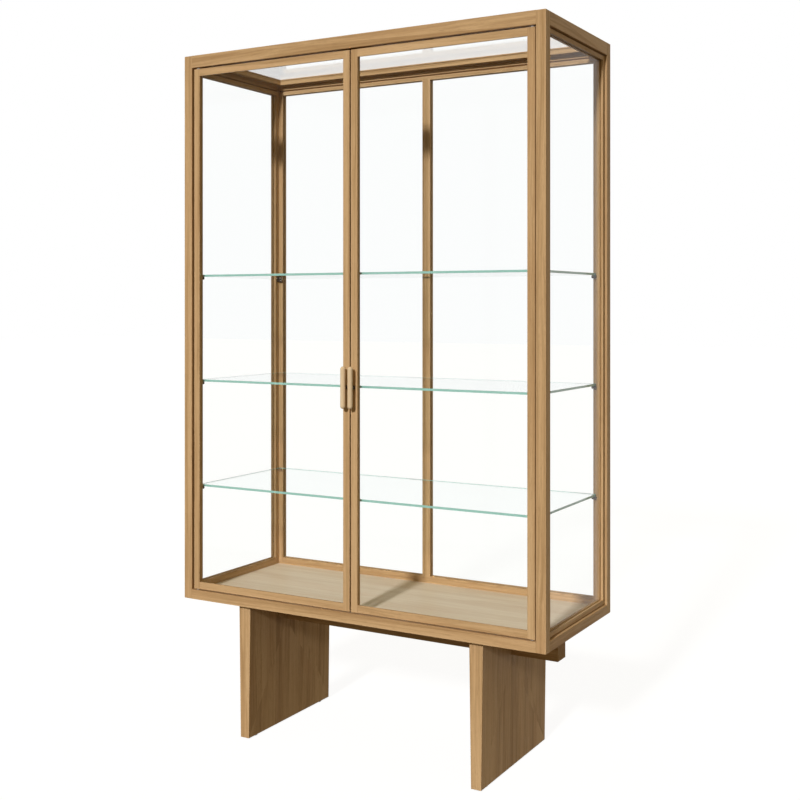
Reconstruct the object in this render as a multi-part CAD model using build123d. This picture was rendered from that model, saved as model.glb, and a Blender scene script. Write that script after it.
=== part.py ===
"""Free-standing oak display cabinet with two glazed doors and three glass shelves.

A slim oak frame carries glazed panels on its top, sides and back. Two glazed
doors turn on concealed pivots inside the front opening. The glazed body stands
on two tapered slab legs joined by one stretcher.

Millimetres. +X is to the right, the doors face -Y, +Z is up. The origin is on
the floor, in the middle of the outer box, handles included.
"""

from build123d import *
import os

os.makedirs("parts", exist_ok=True)

# Overall sizes
WIDTH = 1100
DEPTH = 445
HEIGHT = 1900
BASE_HEIGHT = 371

# Outer frame
POST = 26
TOP_RAIL = 34
BOTTOM_RAIL = 26
FRAME_TENON = 8
FLOOR_THICKNESS = 21

# Glazed frames: fixed panels and doors share one section
FRAME_THICKNESS = 20
GLASS_THICKNESS = 5
REBATE = 5
GLASS_CLEARANCE = 1
STUB_TENON = 5
LIP = 6
TOP_LIP = 12
PANEL_MEMBER = 12
TOP_PANEL_MEMBER = 18
MULLION = 25
SHADOW_GAP = 3
SHADOW_GAP_DEPTH = 7
INNER_GAP = 4
PANEL_RECESS = 6
TOP_PANEL_RECESS = 1

# Doors and their pivots
DOOR_MEMBER = 20
DOOR_REBATE = 7
DOOR_BEAD = 3
DOOR_RECESS = 5
DOOR_SIDE_GAP = 4
DOOR_TOP_GAP = 4
DOOR_BOTTOM_GAP = 3
DOOR_MEETING_GAP = 4
PIVOT_INSET = 10
HINGE_EDGE_RADIUS = 1.5
PIN_DIAMETER = 6
PIN_REACH = 11
PIN_SHANK = 12
PIN_FLANGE_DIAMETER = 14
RUNNING_CLEARANCE = 0.05
BUSH_DIAMETER = 9
BUSH_LENGTH = 12
BUSH_FLANGE_DIAMETER = 14
BUSH_FLANGE = 1
FLANGE_CLEARANCE = 0.1

# Handles
HANDLE_DIAMETER = 14
HANDLE_LENGTH = 110
HANDLE_STAND_OFF = 18
HANDLE_INSET = 9
HANDLE_CENTRE = 984
HANDLE_POST_DIAMETER = 10
HANDLE_SCREW_DIAMETER = 4
HANDLE_SCREW_HEAD_DIAMETER = 7
HANDLE_SCREW_HEAD = 3

# Magnetic catch at the head of the doors
CATCH_BLOCK_LENGTH = 90
CATCH_BLOCK_DEPTH = 14
CATCH_DISC_DIAMETER = 10
CATCH_MAGNET_THICKNESS = 6
CATCH_STRIKE_THICKNESS = 3
CATCH_AIR_GAP = 0.2
CATCH_OFFSET = 32

# Shelves and their pins
SHELF_THICKNESS = 6
SHELF_PITCH = 296.3
SHELF_END_INSET = 32
SHELF_EDGE_INSET = 30
PIN_INSET = 33.5
SHELF_PIN_DIAMETER = 8
SHELF_PIN_REACH = 16
SHELF_PIN_SHANK_DIAMETER = 4
SHELF_PIN_SHANK = 8

# Legs and stretcher
LEG_DEPTH = 400
LEG_TOP_THICKNESS = 38
LEG_BOTTOM_THICKNESS = 28
LEG_CENTRE_INSET = 195
LEG_TENON_LENGTH = 60
LEG_TENON_THICKNESS = 18
LEG_TENON_HEIGHT = 12
STRETCHER_LENGTH = 1000
STRETCHER_WIDTH = 50
STRETCHER_HEIGHT = 77
GLIDE_DIAMETER = 22
GLIDE_THICKNESS = 3
GLIDE_INSET = 40
BOLT_DIAMETER = 8
BOLT_HEAD_DIAMETER = 13
BOLT_HEAD = 8
BOLT_IN_FLOOR = 15
BOLT_UNDER_FLOOR = 37
BOLT_PLACES = (-430, -140, 140, 430)

# Places that follow from the sizes
HANDLE_REACH = HANDLE_STAND_OFF - DOOR_RECESS + HANDLE_DIAMETER / 2
LEFT = -WIDTH / 2
RIGHT = WIDTH / 2
FRONT = (HANDLE_REACH - DEPTH) / 2
BACK = FRONT + DEPTH
MID_DEPTH = (FRONT + BACK) / 2
BOTTOM = BASE_HEIGHT
TOP = HEIGHT
OPENING_WIDTH = WIDTH - 2 * POST
OPENING_DEPTH = DEPTH - 2 * POST
OPENING_BOTTOM = BOTTOM + BOTTOM_RAIL
OPENING_TOP = TOP - TOP_RAIL
OPENING_HEIGHT = OPENING_TOP - OPENING_BOTTOM
FLOOR_TOP = BOTTOM + FLOOR_THICKNESS
DOOR_WIDTH = (OPENING_WIDTH - 2 * DOOR_SIDE_GAP - DOOR_MEETING_GAP) / 2
DOOR_BOTTOM = OPENING_BOTTOM + DOOR_BOTTOM_GAP
DOOR_TOP = OPENING_TOP - DOOR_TOP_GAP
DOOR_HEIGHT = DOOR_TOP - DOOR_BOTTOM
DOOR_FACE = FRONT + DOOR_RECESS
DOOR_INNER_FACE = DOOR_FACE + FRAME_THICKNESS
PIVOT_X = RIGHT - POST - DOOR_SIDE_GAP - PIVOT_INSET
PIVOT_Y = DOOR_FACE + FRAME_THICKNESS / 2


def block(x_range, y_range, z_range):
    """A box between two places on each axis."""
    low = [min(span) for span in (x_range, y_range, z_range)]
    high = [max(span) for span in (x_range, y_range, z_range)]
    size = [b - a for a, b in zip(low, high)]
    centre = [(a + b) / 2 for a, b in zip(low, high)]
    return Pos(*centre) * Box(*size)


def rod_z(x, y, z_start, z_end, diameter):
    """An upright cylinder."""
    centre = Pos(x, y, (z_start + z_end) / 2)
    return centre * Cylinder(diameter / 2, abs(z_end - z_start))


def rod_x(y, z, x_start, x_end, diameter):
    """A cylinder along X."""
    centre = Pos((x_start + x_end) / 2, y, z)
    return centre * Rot(0, 90, 0) * Cylinder(diameter / 2, abs(x_end - x_start))


def rod_y(x, z, y_start, y_end, diameter):
    """A cylinder along Y."""
    centre = Pos(x, (y_start + y_end) / 2, z)
    return centre * Rot(90, 0, 0) * Cylinder(diameter / 2, abs(y_end - y_start))


def cut(solid, *tools):
    """The solid less each of the tools."""
    for tool in tools:
        solid = solid - tool
    return solid


def save(name, pieces):
    """Write one node: a single piece, or several separate ones."""
    solids = [solid for piece in pieces for solid in piece.solids()]
    shape = solids[0] if len(solids) == 1 else Compound(solids)
    export_step(shape, f"parts/{name}.step")


# ---------------------------------------------------------------- outer frame


def rail_along_x(y_start, z_range):
    """A front or back rail with a stub tenon at each end."""
    low, high = z_range
    body = block((LEFT + POST, RIGHT - POST), (y_start, y_start + POST), z_range)
    tenon = block(
        (LEFT + POST - FRAME_TENON, RIGHT - POST + FRAME_TENON),
        (y_start + POST / 3, y_start + 2 * POST / 3),
        (low + POST / 5, high - POST / 5),
    )
    return body + tenon


def rail_along_y(x_start, z_range):
    """A side rail with a stub tenon at each end."""
    low, high = z_range
    body = block((x_start, x_start + POST), (FRONT + POST, BACK - POST), z_range)
    tenon = block(
        (x_start + POST / 3, x_start + 2 * POST / 3),
        (FRONT + POST - FRAME_TENON, BACK - POST + FRAME_TENON),
        (low + POST / 5, high - POST / 5),
    )
    return body + tenon


def make_rails():
    """The four top rails and the four bottom rails, by name."""
    top = (OPENING_TOP, TOP)
    bottom = (BOTTOM, OPENING_BOTTOM)
    return {
        "front_top_rail": rail_along_x(FRONT, top),
        "back_top_rail": rail_along_x(BACK - POST, top),
        "left_top_rail": rail_along_y(LEFT, top),
        "right_top_rail": rail_along_y(RIGHT - POST, top),
        "front_bottom_rail": rail_along_x(FRONT, bottom),
        "back_bottom_rail": rail_along_x(BACK - POST, bottom),
        "left_bottom_rail": rail_along_y(LEFT, bottom),
        "right_bottom_rail": rail_along_y(RIGHT - POST, bottom),
    }


def make_posts(rails):
    """Four full-height posts, mortised for the rail tenons."""
    corners = {
        "front_left_post": (LEFT, FRONT),
        "front_right_post": (RIGHT - POST, FRONT),
        "back_left_post": (LEFT, BACK - POST),
        "back_right_post": (RIGHT - POST, BACK - POST),
    }
    posts = {}
    for name, (x, y) in corners.items():
        post = block((x, x + POST), (y, y + POST), (BOTTOM, TOP))
        posts[name] = cut(post, *rails.values())
    return posts


# -------------------------------------------------------------- glazed frames


def bead_ring(x_range, z_range, y_range, bead):
    """Four strips that hold a pane in its rebate; bead is their width."""
    left, right = x_range
    low, high = z_range
    return [
        block((left, right), y_range, (low, low + bead)),
        block((left, right), y_range, (high - bead, high)),
        block((left, left + bead), y_range, (low + bead, high - bead)),
        block((right - bead, right), y_range, (low + bead, high - bead)),
    ]


def pane_in(x_range, z_range, y_range):
    """A pane with a small clearance round its edges."""
    left, right = x_range
    low, high = z_range
    return block(
        (left + GLASS_CLEARANCE, right - GLASS_CLEARANCE),
        y_range,
        (low + GLASS_CLEARANCE, high - GLASS_CLEARANCE),
    )


def outer_rebate(width, height, gap, y_range):
    """The groove round a fixed frame that shows as a shadow gap."""
    whole = block((0, width), y_range, (0, height))
    face = block((gap, width - gap), y_range, (gap, height - gap))
    return whole - face


def glazed_frame(
    width,
    height,
    member,
    lip=LIP,
    rebate=REBATE,
    bead=REBATE,
    gap=0,
    gap_on_lip_side=True,
    inner_gap=0,
    mullion=0,
):
    """A rebated frame with its glass and beads, its lip face on y = 0.

    It stands on the origin with x along its width and z along its height. Its
    stiles run through, and its rails have stub tenons. The inner gap is a
    groove along the top of the face away from the lip. A mullion, if there is
    one, divides the frame into two lights.
    """
    edge = gap + member
    seat = edge - rebate
    glass_y = (lip, lip + GLASS_THICKNESS)
    bead_y = (lip + GLASS_THICKNESS, FRAME_THICKNESS)
    through_y = (0, FRAME_THICKNESS)
    tenon_y = (FRAME_THICKNESS * 0.4, FRAME_THICKNESS * 0.7)

    ring = block((0, width), through_y, (0, height))
    ring -= block((edge, width - edge), through_y, (edge, height - edge))
    ring -= block((seat, width - seat), (lip, FRAME_THICKNESS), (seat, height - seat))
    if gap:
        near = (0, SHADOW_GAP_DEPTH)
        far = (FRAME_THICKNESS - SHADOW_GAP_DEPTH, FRAME_THICKNESS)
        ring -= outer_rebate(width, height, gap, near if gap_on_lip_side else far)
    if inner_gap:
        far = (FRAME_THICKNESS - SHADOW_GAP_DEPTH, FRAME_THICKNESS)
        ring -= block((0, width), far, (height - inner_gap, height))

    tenon_margin = 2 if seat > 12 else 1.5
    between = (edge, width - edge)
    rails = []
    for low, high, root in ((0, edge, gap), (height - edge, height, height - seat)):
        rail = ring & block(between, through_y, (low, high))
        tenon_low = root + tenon_margin
        tenon = block(
            (edge - STUB_TENON, width - edge + STUB_TENON),
            tenon_y,
            (tenon_low, tenon_low + seat - gap - 2 * tenon_margin),
        )
        rails.append(rail + tenon)
    stiles = []
    for low, high in ((0, edge), (width - edge, width)):
        stile = ring & block((low, high), through_y, (0, height))
        stiles.append(cut(stile, *rails))

    lights = [(seat, width - seat)]
    bar = None
    if mullion:
        half = mullion / 2
        web = half - rebate
        middle = width / 2
        bar = block((middle - half, middle + half), (0, lip), (edge, height - edge))
        bar += block((middle - web, middle + web), (lip, FRAME_THICKNESS), (seat, height - seat))
        bar_tenon = block((middle - web, middle + web), tenon_y, (seat - 4, height - seat + 4))
        bar += bar_tenon
        rails = [rail - bar_tenon for rail in rails]
        lights = [(seat, middle - web), (middle + web, width - seat)]
    panes = [pane_in(light, (seat, height - seat), glass_y) for light in lights]
    beads = []
    for light in lights:
        beads += bead_ring(light, (seat, height - seat), bead_y, bead)
    return {"stiles": stiles, "rails": rails, "panes": panes, "beads": beads, "mullion": bar}


def placed(frame, location):
    """A glazed frame moved to its place."""
    moved = {}
    for kind in ("stiles", "rails", "panes", "beads"):
        moved[kind] = [location * piece for piece in frame[kind]]
    moved["mullion"] = location * frame["mullion"] if frame["mullion"] else None
    return moved


def make_side_panels():
    """The left and right fixed panels, flush with the inside of the posts."""
    flat = glazed_frame(
        OPENING_DEPTH, OPENING_HEIGHT, PANEL_MEMBER, gap=SHADOW_GAP, inner_gap=INNER_GAP
    )
    left = Pos(LEFT + PANEL_RECESS, BACK - POST, OPENING_BOTTOM) * Rot(0, 0, -90)
    right = Pos(RIGHT - PANEL_RECESS, FRONT + POST, OPENING_BOTTOM) * Rot(0, 0, 90)
    return placed(flat, left), placed(flat, right)


def make_back_panel():
    """The fixed back panel, divided by one mullion."""
    flat = glazed_frame(
        OPENING_WIDTH,
        OPENING_HEIGHT,
        PANEL_MEMBER,
        gap=SHADOW_GAP,
        inner_gap=INNER_GAP,
        mullion=MULLION,
    )
    place = Pos(RIGHT - POST, BACK - PANEL_RECESS, OPENING_BOTTOM) * Rot(0, 0, 180)
    return placed(flat, place)


def make_top_panel():
    """The fixed top panel: its glass lies on a deep lip and is beaded from above."""
    flat = glazed_frame(
        OPENING_WIDTH,
        OPENING_DEPTH,
        TOP_PANEL_MEMBER,
        lip=TOP_LIP,
        gap=SHADOW_GAP,
        gap_on_lip_side=False,
    )
    underside = TOP - TOP_PANEL_RECESS - FRAME_THICKNESS
    place = Pos(LEFT + POST, BACK - POST, underside) * Rot(90, 0, 0)
    return placed(flat, place)


# ---------------------------------------------------------------------- doors


def hinge_pin(side, z_face, direction, gap):
    """A shouldered pin fixed in a rail; direction is +1 where it points up."""
    x = side * PIVOT_X
    flange = gap - BUSH_FLANGE - FLANGE_CLEARANCE
    pin = rod_z(x, PIVOT_Y, z_face, z_face + direction * flange, PIN_FLANGE_DIAMETER)
    pin += rod_z(x, PIVOT_Y, z_face - direction * PIN_SHANK, z_face, PIN_DIAMETER)
    tip = z_face + direction * (gap + PIN_REACH)
    pin += rod_z(x, PIVOT_Y, z_face, tip, PIN_DIAMETER)
    return pin


def hinge_bush(side, z_end, direction):
    """A flanged bush in the end of a stile; direction is +1 where it goes up."""
    x = side * PIVOT_X
    bush = rod_z(x, PIVOT_Y, z_end, z_end + direction * BUSH_LENGTH, BUSH_DIAMETER)
    bush += rod_z(x, PIVOT_Y, z_end - direction * BUSH_FLANGE, z_end, BUSH_FLANGE_DIAMETER)
    bore = PIN_DIAMETER + 2 * RUNNING_CLEARANCE
    start = z_end - direction * BUSH_FLANGE
    return bush - rod_z(x, PIVOT_Y, start, z_end + direction * BUSH_LENGTH, bore)


def make_hinge_pins():
    """Two pins for each door, one in the bottom rail and one in the top rail."""
    pins = []
    for side in (-1, 1):
        pins.append(hinge_pin(side, OPENING_BOTTOM, 1, DOOR_BOTTOM_GAP))
        pins.append(hinge_pin(side, OPENING_TOP, -1, DOOR_TOP_GAP))
    return pins


def make_handle(side):
    """A round-ended bar, the post behind it and the screw that holds both."""
    x = side * (DOOR_MEETING_GAP / 2 + HANDLE_INSET)
    y = DOOR_FACE - HANDLE_STAND_OFF
    radius = HANDLE_DIAMETER / 2
    half = HANDLE_LENGTH / 2 - radius
    bar = rod_z(x, y, HANDLE_CENTRE - half, HANDLE_CENTRE + half, HANDLE_DIAMETER)
    for end in (-1, 1):
        bar += Pos(x, y, HANDLE_CENTRE + end * half) * Sphere(radius)
    seat = DOOR_INNER_FACE - HANDLE_SCREW_HEAD
    screw = rod_y(x, HANDLE_CENTRE, y, seat, HANDLE_SCREW_DIAMETER)
    screw += rod_y(x, HANDLE_CENTRE, seat, DOOR_INNER_FACE, HANDLE_SCREW_HEAD_DIAMETER)
    post = rod_y(x, HANDLE_CENTRE, y, DOOR_FACE, HANDLE_POST_DIAMETER) - bar - screw
    return bar - screw, post, screw


def catch_disc(side, y_start, y_end):
    """A disc on the catch centre line of one door."""
    z = DOOR_TOP - (DOOR_MEMBER - DOOR_REBATE) / 2
    return rod_y(side * CATCH_OFFSET, z, y_start, y_end, CATCH_DISC_DIAMETER)


def make_door(name, side):
    """Write one door: side is -1 for the left door and +1 for the right one."""
    flat = glazed_frame(
        DOOR_WIDTH, DOOR_HEIGHT, DOOR_MEMBER, rebate=DOOR_REBATE, bead=DOOR_BEAD
    )
    x_start = LEFT + POST + DOOR_SIDE_GAP if side < 0 else DOOR_MEETING_GAP / 2
    frame = placed(flat, Pos(x_start, DOOR_FACE, DOOR_BOTTOM))
    left_stile, right_stile = frame["stiles"]
    bottom_rail, top_rail = frame["rails"]
    hinge_stile, meeting_stile = left_stile, right_stile
    if side > 0:
        hinge_stile, meeting_stile = right_stile, left_stile

    outer_edge = side * (WIDTH / 2 - POST - DOOR_SIDE_GAP)
    corners = hinge_stile.edges().filter_by(Axis.Z)
    corners = corners.filter_by(lambda edge: abs(edge.center().X - outer_edge) < 0.01)
    hinge_stile = fillet(corners, HINGE_EDGE_RADIUS)

    bushes = [hinge_bush(side, DOOR_BOTTOM, 1), hinge_bush(side, DOOR_TOP, -1)]
    for z_end, direction in ((DOOR_BOTTOM, 1), (DOOR_TOP, -1)):
        z_far = z_end + direction * BUSH_LENGTH
        hinge_stile -= rod_z(side * PIVOT_X, PIVOT_Y, z_end, z_far, BUSH_DIAMETER)

    handle, post, screw = make_handle(side)
    strike = catch_disc(side, DOOR_INNER_FACE - CATCH_STRIKE_THICKNESS, DOOR_INNER_FACE)
    save(f"{name}_hinge_stile", [hinge_stile])
    save(f"{name}_meeting_stile", [meeting_stile - screw])
    save(f"{name}_top_rail", [top_rail - strike])
    save(f"{name}_bottom_rail", [bottom_rail])
    save(f"{name}_glass", frame["panes"])
    save(f"{name}_glazing_beads", frame["beads"])
    save(f"{name}_hinge_bushes", bushes)
    save(f"{name}_handle", [handle])
    save(f"{name}_handle_fixing", [post, screw])
    save(f"{name}_catch_strike", [strike])


def make_catch():
    """A block behind the top rail that stops both doors, and its two magnets."""
    low = DOOR_TOP - DOOR_MEMBER + DOOR_REBATE
    high = TOP - TOP_PANEL_RECESS - FRAME_THICKNESS
    y_start = FRONT + POST
    stop = block(
        (-CATCH_BLOCK_LENGTH / 2, CATCH_BLOCK_LENGTH / 2),
        (y_start, y_start + CATCH_BLOCK_DEPTH),
        (low, high),
    )
    face = DOOR_INNER_FACE + CATCH_AIR_GAP
    magnets = [catch_disc(side, face, face + CATCH_MAGNET_THICKNESS) for side in (-1, 1)]
    return cut(stop, *magnets), magnets


# -------------------------------------------------------------------- shelves


def shelf_centre(level):
    """The height of a shelf's middle; level 1 is the lowest shelf."""
    return FLOOR_TOP + level * SHELF_PITCH


def make_shelf(level):
    """One loose glass shelf."""
    middle = shelf_centre(level)
    return block(
        (LEFT + SHELF_END_INSET, RIGHT - SHELF_END_INSET),
        (FRONT + SHELF_EDGE_INSET, BACK - SHELF_EDGE_INSET),
        (middle - SHELF_THICKNESS / 2, middle + SHELF_THICKNESS / 2),
    )


def make_shelf_pins():
    """Four pins under each shelf, plugged into the side stiles."""
    pins = []
    for level in (1, 2, 3):
        z = shelf_centre(level) - SHELF_THICKNESS / 2 - SHELF_PIN_DIAMETER / 2
        for side in (-1, 1):
            wall = side * (WIDTH / 2 - POST)
            for y in (FRONT + PIN_INSET, BACK - PIN_INSET):
                pin = rod_x(y, z, wall, wall - side * SHELF_PIN_REACH, SHELF_PIN_DIAMETER)
                tail = wall + side * SHELF_PIN_SHANK
                pin += rod_x(y, z, wall, tail, SHELF_PIN_SHANK_DIAMETER)
                pins.append(pin)
    return pins


# ------------------------------------------------------------------------ base


def make_stretcher():
    """The bar under the floor, before it is drilled."""
    return block(
        (-STRETCHER_LENGTH / 2, STRETCHER_LENGTH / 2),
        (MID_DEPTH - STRETCHER_WIDTH / 2, MID_DEPTH + STRETCHER_WIDTH / 2),
        (BOTTOM - STRETCHER_HEIGHT, BOTTOM),
    )


def make_leg(side, stretcher):
    """A tapered slab leg, notched for the stretcher and tenoned into the floor."""
    x = side * (WIDTH / 2 - LEG_CENTRE_INSET)
    top = LEG_TOP_THICKNESS / 2
    foot = LEG_BOTTOM_THICKNESS / 2
    outline = Polygon(
        (x - foot, GLIDE_THICKNESS),
        (x + foot, GLIDE_THICKNESS),
        (x + top, BOTTOM),
        (x - top, BOTTOM),
        align=None,
    )
    leg = extrude(Plane.XZ * outline, LEG_DEPTH / 2, both=True)
    leg = Pos(0, MID_DEPTH, 0) * leg
    half = LEG_TENON_THICKNESS / 2
    for end in (-1, 1):
        middle = MID_DEPTH + end * LEG_DEPTH / 4
        leg += block(
            (x - half, x + half),
            (middle - LEG_TENON_LENGTH / 2, middle + LEG_TENON_LENGTH / 2),
            (BOTTOM, BOTTOM + LEG_TENON_HEIGHT),
        )
    return leg - stretcher


def make_bolts():
    """Cap-head bolts that pull the stretcher up to the floor."""
    seat = BOTTOM - BOLT_UNDER_FLOOR
    bolts = []
    for x in BOLT_PLACES:
        bolt = rod_z(x, MID_DEPTH, seat, BOTTOM + BOLT_IN_FLOOR, BOLT_DIAMETER)
        bolt += rod_z(x, MID_DEPTH, seat - BOLT_HEAD, seat, BOLT_HEAD_DIAMETER)
        bolts.append(bolt)
    return bolts


def make_counterbores():
    """The deep holes that the bolt heads sit in."""
    seat = BOTTOM - BOLT_UNDER_FLOOR
    low = BOTTOM - STRETCHER_HEIGHT
    return [rod_z(x, MID_DEPTH, low, seat, BOLT_HEAD_DIAMETER) for x in BOLT_PLACES]


def make_glides():
    """Two pads under each leg."""
    glides = []
    for side in (-1, 1):
        x = side * (WIDTH / 2 - LEG_CENTRE_INSET)
        for end in (-1, 1):
            y = MID_DEPTH + end * (LEG_DEPTH / 2 - GLIDE_INSET)
            glides.append(rod_z(x, y, 0, GLIDE_THICKNESS, GLIDE_DIAMETER))
    return glides


def make_floor(legs, bolts):
    """The floor board between the bottom rails."""
    board = block(
        (LEFT + POST, RIGHT - POST),
        (FRONT + POST, BACK - POST),
        (BOTTOM, FLOOR_TOP),
    )
    return cut(board, *legs, *bolts)


# ------------------------------------------------------------------- assembly


def save_outer_frame(pins):
    """Write the posts and the rails; two rails are drilled for the hinge pins."""
    rails = make_rails()
    posts = make_posts(rails)
    for name in ("front_top_rail", "front_bottom_rail"):
        rails[name] = cut(rails[name], *pins)
    for name, solid in {**posts, **rails}.items():
        save(name, [solid])


def save_fixed_panels(shelf_pins):
    """Write the top, side and back panels."""
    left, right = make_side_panels()
    back = make_back_panel()
    top = make_top_panel()
    for side in (left, right):
        side["stiles"] = [cut(stile, *shelf_pins) for stile in side["stiles"]]
    panels = {"left_panel": left, "right_panel": right, "back_panel": back, "top_panel": top}
    for name, panel in panels.items():
        save(f"{name}_stiles", panel["stiles"])
        save(f"{name}_rails", panel["rails"])
    save("left_panel_glass", left["panes"])
    save("right_panel_glass", right["panes"])
    save("top_panel_glass", top["panes"])
    save("back_panel_mullion", [back["mullion"]])
    save("back_right_glass", back["panes"][:1])
    save("back_left_glass", back["panes"][1:])
    save("panel_glazing_beads", [bead for panel in panels.values() for bead in panel["beads"]])


def save_base():
    """Write the floor, the legs, the stretcher and what holds them."""
    stretcher = make_stretcher()
    legs = [make_leg(side, stretcher) for side in (-1, 1)]
    bolts = make_bolts()
    save("left_leg", legs[:1])
    save("right_leg", legs[1:])
    save("stretcher", [cut(stretcher, *bolts, *make_counterbores())])
    save("base_bolts", bolts)
    save("leg_glides", make_glides())
    save("floor_panel", [make_floor(legs, bolts)])


hinge_pins = make_hinge_pins()
shelf_pins = make_shelf_pins()
catch_block, catch_magnets = make_catch()
save_outer_frame(hinge_pins)
save_fixed_panels(shelf_pins)
save_base()
make_door("left_door", -1)
make_door("right_door", 1)
save("hinge_pins", hinge_pins)
save("shelf_pins", shelf_pins)
save("catch_block", [catch_block])
save("catch_magnets", catch_magnets)
save("lower_shelf", [make_shelf(1)])
save("middle_shelf", [make_shelf(2)])
save("upper_shelf", [make_shelf(3)])
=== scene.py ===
"""Looks for the oak and glass display cabinet.

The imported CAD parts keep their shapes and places. This script softens the arrises of the wooden
parts and the shelves, gives every part a procedural material, and adds the studio floor, the
lamp, the sky and the camera.
"""

import math

import bpy
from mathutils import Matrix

MM = 0.001

# Camera: level, at chest height, in front of the right side, looking left of straight ahead
CAMERA_PLACE = (1.6414, -2.8108, 1.1995)
CAMERA_YAW_DEG = 29.82
CAMERA_LENS_MM = 53.21
CAMERA_SENSOR_MM = 36.0
CAMERA_SHIFT_DOWN = 0.1193

# Light: one lamp in front, slightly from the right and above, under a dimmer, warmer sky.
# The sky turns from its lower to its upper colour between two heights of the ray's direction.
LAMP_TRAVEL = (-0.085, 1.0, -0.50)
LAMP_STRENGTH = 2.50
LAMP_ANGLE_DEG = 5.0
SKY_ABOVE = (0.33, 0.27, 0.155, 1.0)
SKY_BELOW = (0.10, 0.08, 0.05, 1.0)
SKY_TURN = (-0.25, 0.15)
BACKDROP_WHITE = (1.0, 1.0, 1.0, 1.0)

FLOOR_HALF_WIDTH = 30.0
FLOOR_GLOW = 0.92
FLOOR_COLOUR = (0.16, 0.16, 0.16, 1.0)

# Softened edges: how far they are cut back, how many faces round them, and the least angle cut
ARRIS = 0.9 * MM
FINE_ARRIS = 0.35 * MM
ARRIS_SEGMENTS = 2
ARRIS_ANGLE_DEG = 50.0
WELD_REACH = 0.01 * MM

# Lower than real glass, so that the panes stay almost free of reflections
GLASS_IOR = 1.12
SMEAR_ROUGHNESS = 0.015
PANE_TINT = (0.985, 0.992, 0.990, 1.0)
SHELF_TINT = (0.965, 0.985, 0.980, 1.0)
SHELF_EDGE_DEEP = (0.26, 0.56, 0.49, 1.0)
SHELF_EDGE_PALE = (0.38, 0.66, 0.60, 1.0)

LEG_STAVE_WIDTH = 67 * MM

# How far the grain pattern moves from one piece to the next, in metres
PIECE_SHIFT = (13.7, 5.3, 8.9)
GRAIN_BEND = 0.035
GRAIN_RELIEF = 0.12 * MM
WARM_PATCH = (0.60, 0.33, 0.16, 1.0)
WOOD_SPECULAR = 0.05
GRAIN_ORDER = {"x": "XYZ", "y": "YXZ", "z": "ZXY"}


class Graph:
    """A node tree with one short call for each node."""

    def __init__(self, tree):
        self.tree = tree
        self.tree.nodes.clear()

    def add(self, kind, inputs=None, **settings):
        """A new shader node. inputs gives values or other sockets to its sockets, by name or number."""
        node = self.tree.nodes.new("ShaderNode" + kind)
        for name, value in settings.items():
            setattr(node, name, value)
        for name, value in (inputs or {}).items():
            if isinstance(value, bpy.types.NodeSocket):
                self.tree.links.new(value, node.inputs[name])
            else:
                node.inputs[name].default_value = value
        return node

    def math(self, operation, first, second=0.0):
        return self.add("Math", {0: first, 1: second}, operation=operation).outputs[0]

    def remap(self, value, start, end, to_start=0.0, to_end=1.0):
        """value from start to end, as a number from to_start to to_end, and no further."""
        inputs = {"Value": value, "From Min": start, "From Max": end}
        inputs.update({"To Min": to_start, "To Max": to_end})
        return self.add("MapRange", inputs).outputs[0]

    def blend(self, factor, first, second):
        """Two colours mixed."""
        inputs = {0: factor, 6: first, 7: second}
        return self.add("Mix", inputs, data_type="RGBA").outputs[2]

    def noise(self, vector, stretch, detail=2.0):
        """A soft noise from 0 to 1 on coordinates that are first multiplied by stretch."""
        scaled = self.add("VectorMath", {0: vector, 1: stretch}, operation="MULTIPLY").outputs[0]
        inputs = {"Vector": scaled, "Scale": 1.0, "Detail": detail}
        return self.add("TexNoise", inputs).outputs["Fac"]

    def moved(self, vector, shift, amount):
        """A place moved by amount times the shift vector."""
        step = self.add("VectorMath", {0: shift, "Scale": amount}, operation="SCALE").outputs[0]
        return self.add("VectorMath", {0: vector, 1: step}, operation="ADD").outputs[0]

    def shine(self, surface):
        """Sends a shader to the tree's output."""
        output = self.add("OutputMaterial")
        self.tree.links.new(surface, output.inputs["Surface"])


def new_material(name):
    material = bpy.data.materials.new(name)
    material.use_nodes = True
    return material, Graph(material.node_tree)


def grain_space(graph, direction):
    """Place on the piece in metres, with x along the grain, moved so that no two pieces match.

    Gives the place and the piece's own number from 0 to 1.
    """
    place = graph.add("TexCoord").outputs["Object"]
    piece = graph.add("NewGeometry").outputs["Random Per Island"]
    parts = graph.add("SeparateXYZ", {0: graph.moved(place, PIECE_SHIFT, piece)}).outputs
    inputs = {slot: parts[axis] for slot, axis in zip("XYZ", GRAIN_ORDER[direction])}
    return graph.add("CombineXYZ", inputs).outputs[0], piece


def end_grain(graph, direction):
    """1 on faces that cut across the grain and 0 along it."""
    normal = graph.add("TexCoord").outputs["Normal"]
    parts = graph.add("SeparateXYZ", {0: normal}).outputs
    along = graph.math("ABSOLUTE", parts[direction.upper()])
    return graph.remap(along, 0.6, 0.9)


def stave_grain(graph, grain, piece, stave):
    """The grain of a piece glued up from boards: a new place and a tone for each board.

    stave is the axis across the boards and their width.
    """
    axis, width = stave
    place = graph.add("TexCoord").outputs["Object"]
    across = graph.add("SeparateXYZ", {0: place}).outputs[axis.upper()]
    board = graph.math("FLOOR", graph.math("DIVIDE", across, width))
    seed = graph.math("ADD", board, graph.math("MULTIPLY", piece, 31.0))
    tone = graph.add("TexWhiteNoise", {"W": seed}, noise_dimensions="1D").outputs["Value"]
    return graph.moved(grain, PIECE_SHIFT, tone), tone


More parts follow.
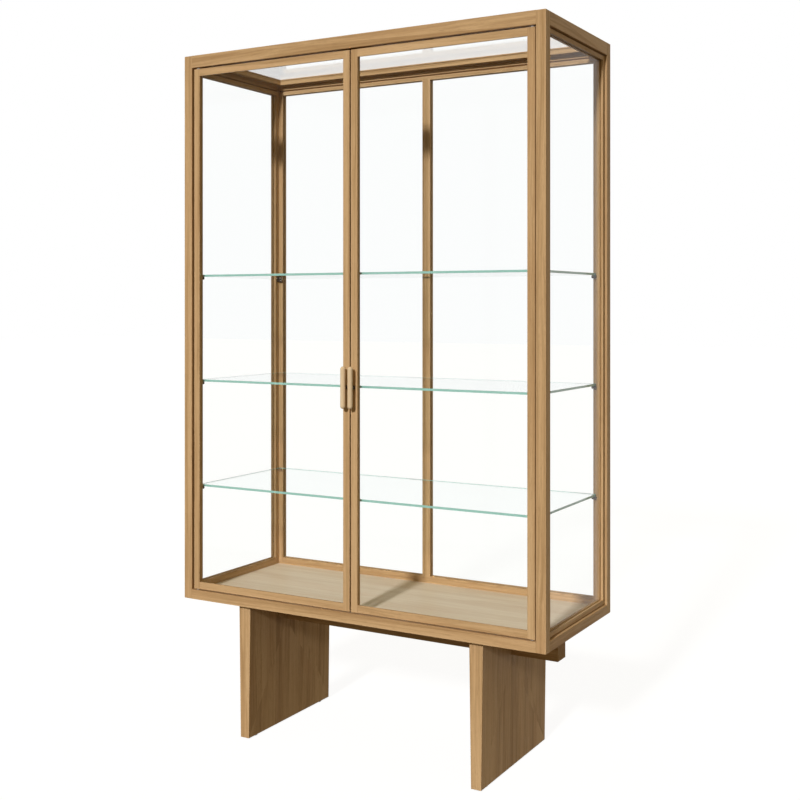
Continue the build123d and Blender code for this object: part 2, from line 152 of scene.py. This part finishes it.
def wood(name, direction, palette, grain_depth=1.0, bump=0.25, stave=None):
    """Sawn, sanded and oiled wood with its grain along one axis.

    palette holds the light, middle and dark colours of the boards and the colour of the pores.
    """
    light, middle, dark, pore_colour = palette
    material, graph = new_material(name)
    grain, tone = grain_space(graph, direction)
    if stave:
        grain, tone = stave_grain(graph, grain, tone, stave)

    wander = graph.noise(grain, (1.7, 11.0, 11.0), detail=1.0)
    bend = graph.math("MULTIPLY", graph.math("SUBTRACT", wander, 0.5), GRAIN_BEND)
    bend_vector = graph.add("CombineXYZ", {"Y": bend, "Z": bend}).outputs[0]
    bent = graph.add("VectorMath", {0: grain, 1: bend_vector}, operation="ADD").outputs[0]

    boards = graph.noise(bent, (0.7, 24.0, 24.0), detail=2.0)
    streaks = graph.noise(bent, (2.6, 170.0, 170.0), detail=3.0)
    fibres = graph.noise(bent, (14.0, 620.0, 620.0), detail=2.0)
    pores = graph.remap(graph.noise(bent, (34.0, 1900.0, 1900.0), detail=1.0), 0.58, 0.70)
    patches = graph.noise(grain, (3.2, 14.0, 14.0), detail=2.0)

    figure = graph.math("MULTIPLY", boards, 0.50)
    figure = graph.math("ADD", figure, graph.math("MULTIPLY", streaks, 0.36))
    figure = graph.math("ADD", figure, graph.math("MULTIPLY", fibres, 0.14))
    offset = graph.math("MULTIPLY", graph.math("SUBTRACT", tone, 0.5), 0.10)
    figure = graph.math("SUBTRACT", figure, offset)
    lighter = graph.remap(figure, 0.52, 0.36)
    darker = graph.remap(figure, 0.48, 0.64)
    colour = graph.blend(lighter, middle, light)
    colour = graph.blend(graph.math("MULTIPLY", darker, grain_depth), colour, dark)
    warm = graph.blend(0.5, middle, WARM_PATCH)
    colour = graph.blend(graph.remap(patches, 0.50, 0.72, 0.0, 0.30), colour, warm)
    colour = graph.blend(graph.math("MULTIPLY", pores, 0.38 * grain_depth), colour, pore_colour)
    cut = end_grain(graph, direction)
    colour = graph.blend(graph.math("MULTIPLY", cut, 0.55), colour, dark)

    roughness = graph.remap(streaks, 0.3, 0.7, 0.40, 0.52)
    roughness = graph.math("ADD", roughness, graph.math("MULTIPLY", cut, 0.15))
    relief = graph.math("SUBTRACT", graph.math("MULTIPLY", fibres, 0.5), pores)
    inputs = {"Height": relief, "Strength": bump, "Distance": GRAIN_RELIEF}
    normal = graph.add("Bump", inputs).outputs[0]
    inputs = {"Base Color": colour, "Roughness": roughness, "Normal": normal}
    inputs["Specular IOR Level"] = WOOD_SPECULAR
    graph.shine(graph.add("BsdfPrincipled", inputs).outputs[0])
    return material


# Woods: light, middle and dark board colours, and the colour of the pores
OAK = (
    (0.640, 0.430, 0.232, 1.0),
    (0.560, 0.362, 0.185, 1.0),
    (0.400, 0.240, 0.110, 1.0),
    (0.230, 0.125, 0.052, 1.0),
)
OAK_VENEER = (
    (0.890, 0.770, 0.630, 1.0),
    (0.850, 0.730, 0.590, 1.0),
    (0.760, 0.620, 0.470, 1.0),
    (0.550, 0.420, 0.290, 1.0),
)
MAPLE = (
    (0.800, 0.640, 0.440, 1.0),
    (0.760, 0.590, 0.385, 1.0),
    (0.660, 0.480, 0.285, 1.0),
    (0.480, 0.330, 0.190, 1.0),
)


# Metals: clean and dull colour
BRASS = ((0.70, 0.50, 0.22, 1.0), (0.42, 0.29, 0.13, 1.0))
STEEL = ((0.58, 0.57, 0.55, 1.0), (0.34, 0.33, 0.32, 1.0))
# Dark bronze made near black as painted shade: the shelf pins and handle posts stand in shadow, and
# that darkness is put into their colour
BRONZE_DARKENED_AS_SHADE = ((0.075, 0.055, 0.04, 1.0), (0.03, 0.022, 0.017, 1.0))


def metal(name, colours, roughness, dull_roughness):
    """Turned metal with a thin, uneven film of handling and age."""
    colour, dull_colour = colours
    material, graph = new_material(name)
    place = graph.add("TexCoord").outputs["Object"]
    turned = graph.noise(place, (90.0, 90.0, 2600.0), detail=2.0)
    film = graph.noise(place, (160.0, 160.0, 160.0), detail=3.0)
    wear = graph.remap(film, 0.42, 0.66)
    shade = graph.blend(wear, colour, dull_colour)
    rough = graph.remap(wear, 0.0, 1.0, roughness, dull_roughness)
    normal = graph.add("Bump", {"Height": turned, "Strength": 0.15, "Distance": 0.03 * MM}).outputs[0]
    inputs = {"Base Color": shade, "Metallic": 1.0, "Roughness": rough, "Normal": normal}
    graph.shine(graph.add("BsdfPrincipled", inputs).outputs[0])
    return material


def plastic(name):
    """Moulded dark plastic with a fine spark-eroded grain."""
    material, graph = new_material(name)
    place = graph.add("TexCoord").outputs["Object"]
    grit = graph.noise(place, (1400.0, 1400.0, 1400.0), detail=2.0)
    colour = graph.blend(grit, (0.020, 0.019, 0.018, 1.0), (0.045, 0.043, 0.040, 1.0))
    rough = graph.remap(grit, 0.3, 0.7, 0.45, 0.65)
    normal = graph.add("Bump", {"Height": grit, "Strength": 0.3, "Distance": 0.05 * MM}).outputs[0]
    inputs = {"Base Color": colour, "Roughness": rough, "Normal": normal}
    graph.shine(graph.add("BsdfPrincipled", inputs).outputs[0])
    return material


def sheet_glass(graph, tint):
    """Clear float glass that lets the lamp and the sky light what is behind it."""
    place = graph.add("TexCoord").outputs["Object"]
    smears = graph.noise(place, (9.0, 9.0, 5.0), detail=4.0)
    rough = graph.remap(smears, 0.45, 0.80, 0.0, SMEAR_ROUGHNESS)
    inputs = {"Base Color": tint, "Roughness": rough, "IOR": GLASS_IOR}
    inputs["Transmission Weight"] = 1.0
    glass = graph.add("BsdfPrincipled", inputs)
    open_way = graph.add("BsdfTransparent", {"Color": tint}).outputs[0]
    path = graph.add("LightPath").outputs
    inputs = {0: path["Is Diffuse Ray"], 1: glass.outputs[0], 2: open_way}
    for_surfaces = graph.add("MixShader", inputs).outputs[0]
    inputs = {0: path["Is Shadow Ray"], 1: for_surfaces, 2: open_way}
    return graph.add("MixShader", inputs).outputs[0]


def pane_glass(name):
    """Clear glass for the panes."""
    material, graph = new_material(name)
    graph.shine(sheet_glass(graph, PANE_TINT))
    return material


def shelf_glass(name):
    """Clear glass whose polished edges show the blue-green of its thickness."""
    material, graph = new_material(name)
    clear = sheet_glass(graph, SHELF_TINT)
    normal = graph.add("TexCoord").outputs["Normal"]
    upright = graph.math("ABSOLUTE", graph.add("SeparateXYZ", {0: normal}).outputs["Z"])
    edge = graph.remap(upright, 0.75, 0.35)
    place = graph.add("TexCoord").outputs["Object"]
    depth = graph.noise(place, (6.0, 6.0, 300.0), detail=2.0)
    colour = graph.blend(depth, SHELF_EDGE_DEEP, SHELF_EDGE_PALE)
    polished = graph.add("BsdfPrincipled", {"Base Color": colour, "Roughness": 0.12})
    both = graph.add("MixShader", {0: edge, 1: clear, 2: polished.outputs[0]})
    graph.shine(both.outputs[0])
    return material


def soften(piece, width):
    """Joins the faces of a CAD piece along its edges and rounds the arrises a little."""
    weld = piece.modifiers.new("weld", "WELD")
    weld.merge_threshold = WELD_REACH
    bevel = piece.modifiers.new("arris", "BEVEL")
    bevel.width = width
    bevel.segments = ARRIS_SEGMENTS
    bevel.limit_method = "ANGLE"
    bevel.angle_limit = math.radians(ARRIS_ANGLE_DEG)


def grain_direction(name):
    """The axis that the grain of a wooden CAD node runs along, from what the piece is."""
    if name in ("left_top_rail", "left_bottom_rail", "left_panel_rails"):
        return "y"
    if name in ("right_top_rail", "right_bottom_rail", "right_panel_rails", "top_panel_stiles"):
        return "y"
    if name.endswith(("rail", "rails", "stretcher", "catch_block", "floor_panel")):
        return "x"
    return "z"


def finish_cad(nodes):
    """Gives every CAD node its material, and the wood and the shelves their softened arrises."""
    oak = {axis: wood("oak_along_" + axis, axis, OAK) for axis in "xyz"}
    staved = wood("oak_legs", "z", OAK, stave=("y", LEG_STAVE_WIDTH))
    veneer = wood("oak_floor_veneer", "x", OAK_VENEER, grain_depth=0.7, bump=0.12)
    maple = wood("pale_maple", "z", MAPLE, grain_depth=0.6, bump=0.1)
    plain = {
        "clear_glass": pane_glass("pane_glass"),
        "shelf_glass": shelf_glass("shelf_glass_polished"),
        "brass_bush": metal("brass", BRASS, 0.22, 0.45),
        "steel_hardware": metal("steel", STEEL, 0.25, 0.45),
        # metal with painted shade: its near-black colour stands in for the shadow the pins and posts
        # sit in
        "bronze_hardware": metal("bronze", BRONZE_DARKENED_AS_SHADE, 0.3, 0.5),
        "glide_plastic": plastic("glide_plastic_black"),
    }
    for name, piece in nodes.items():
        slot = piece.material_slots[0]
        kind = slot.material.name
        if kind == "oak":
            slot.material = staved if name.endswith("leg") else oak[grain_direction(name)]
            soften(piece, ARRIS)
        elif kind == "floor_veneer":
            slot.material = veneer
            soften(piece, FINE_ARRIS)
        elif kind == "handle_maple":
            slot.material = maple
            soften(piece, FINE_ARRIS)
        else:
            slot.material = plain[kind]
            if kind == "shelf_glass":
                soften(piece, FINE_ARRIS)


def make_floor():
    """A wide pale floor. It takes shadows, but throws no light up onto the cabinet."""
    half = FLOOR_HALF_WIDTH
    corners = [(-half, -half, 0.0), (half, -half, 0.0), (half, half, 0.0), (-half, half, 0.0)]
    mesh = bpy.data.meshes.new("studio_floor")
    mesh.from_pydata(corners, [], [(0, 1, 2, 3)])
    floor = bpy.data.objects.new("studio_floor", mesh)
    bpy.context.scene.collection.objects.link(floor)
    material, graph = new_material("pale_floor")
    inputs = {"Base Color": FLOOR_COLOUR, "Roughness": 0.9, "Specular IOR Level": 0.0}
    inputs.update({"Emission Color": BACKDROP_WHITE, "Emission Strength": FLOOR_GLOW})
    graph.shine(graph.add("BsdfPrincipled", inputs).outputs[0])
    mesh.materials.append(material)
    floor.visible_diffuse = False
    floor.visible_glossy = False


def make_lamp():
    """A fairly crisp lamp far off in front, slightly from the right and above the cabinet."""
    light = bpy.data.lights.new("key", "SUN")
    light.energy = LAMP_STRENGTH
    light.angle = math.radians(LAMP_ANGLE_DEG)
    lamp = bpy.data.objects.new("key", light)
    bpy.context.scene.collection.objects.link(lamp)
    x, y, z = LAMP_TRAVEL
    across = math.hypot(x, y)
    lamp.rotation_euler = (math.atan2(across, -z), 0.0, math.atan2(-x, y))


def make_sky():
    """Warm light from above and little from below, on a backdrop that is white to look at.

    The camera sees that white directly, through glass and in reflections.
    """
    world = bpy.data.worlds.new("studio")
    bpy.context.scene.world = world
    world.use_nodes = True
    graph = Graph(world.node_tree)
    way = graph.add("TexCoord").outputs["Generated"]
    height = graph.add("SeparateXYZ", {0: way}).outputs["Z"]
    colour = graph.blend(graph.remap(height, *SKY_TURN), SKY_BELOW, SKY_ABOVE)
    path = graph.add("LightPath").outputs
    seen = graph.math("MAXIMUM", path["Is Camera Ray"], path["Is Transmission Ray"])
    seen = graph.math("MAXIMUM", seen, path["Is Glossy Ray"])
    colour = graph.blend(seen, colour, BACKDROP_WHITE)
    sky = graph.add("Background", {"Color": colour})
    output = graph.add("OutputWorld")
    graph.tree.links.new(sky.outputs[0], output.inputs["Surface"])


def make_camera():
    """A level camera whose picture is moved down, so that uprights stay upright."""
    data = bpy.data.cameras.new("camera")
    data.lens = CAMERA_LENS_MM
    data.sensor_width = CAMERA_SENSOR_MM
    data.shift_y = -CAMERA_SHIFT_DOWN
    camera = bpy.data.objects.new("camera", data)
    bpy.context.scene.collection.objects.link(camera)
    camera.location = CAMERA_PLACE
    camera.rotation_euler = (math.radians(90), 0.0, math.radians(CAMERA_YAW_DEG))
    bpy.context.scene.camera = camera


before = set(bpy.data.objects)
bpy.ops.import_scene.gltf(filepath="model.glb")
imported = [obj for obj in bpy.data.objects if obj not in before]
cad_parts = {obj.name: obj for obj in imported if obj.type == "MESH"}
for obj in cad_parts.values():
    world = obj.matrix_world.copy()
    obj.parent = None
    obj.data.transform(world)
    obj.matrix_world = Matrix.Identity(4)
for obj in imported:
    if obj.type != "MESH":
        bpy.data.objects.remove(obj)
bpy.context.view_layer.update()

finish_cad(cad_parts)
make_floor()
make_lamp()
make_sky()
make_camera()
bpy.context.scene.view_settings.view_transform = "Standard"
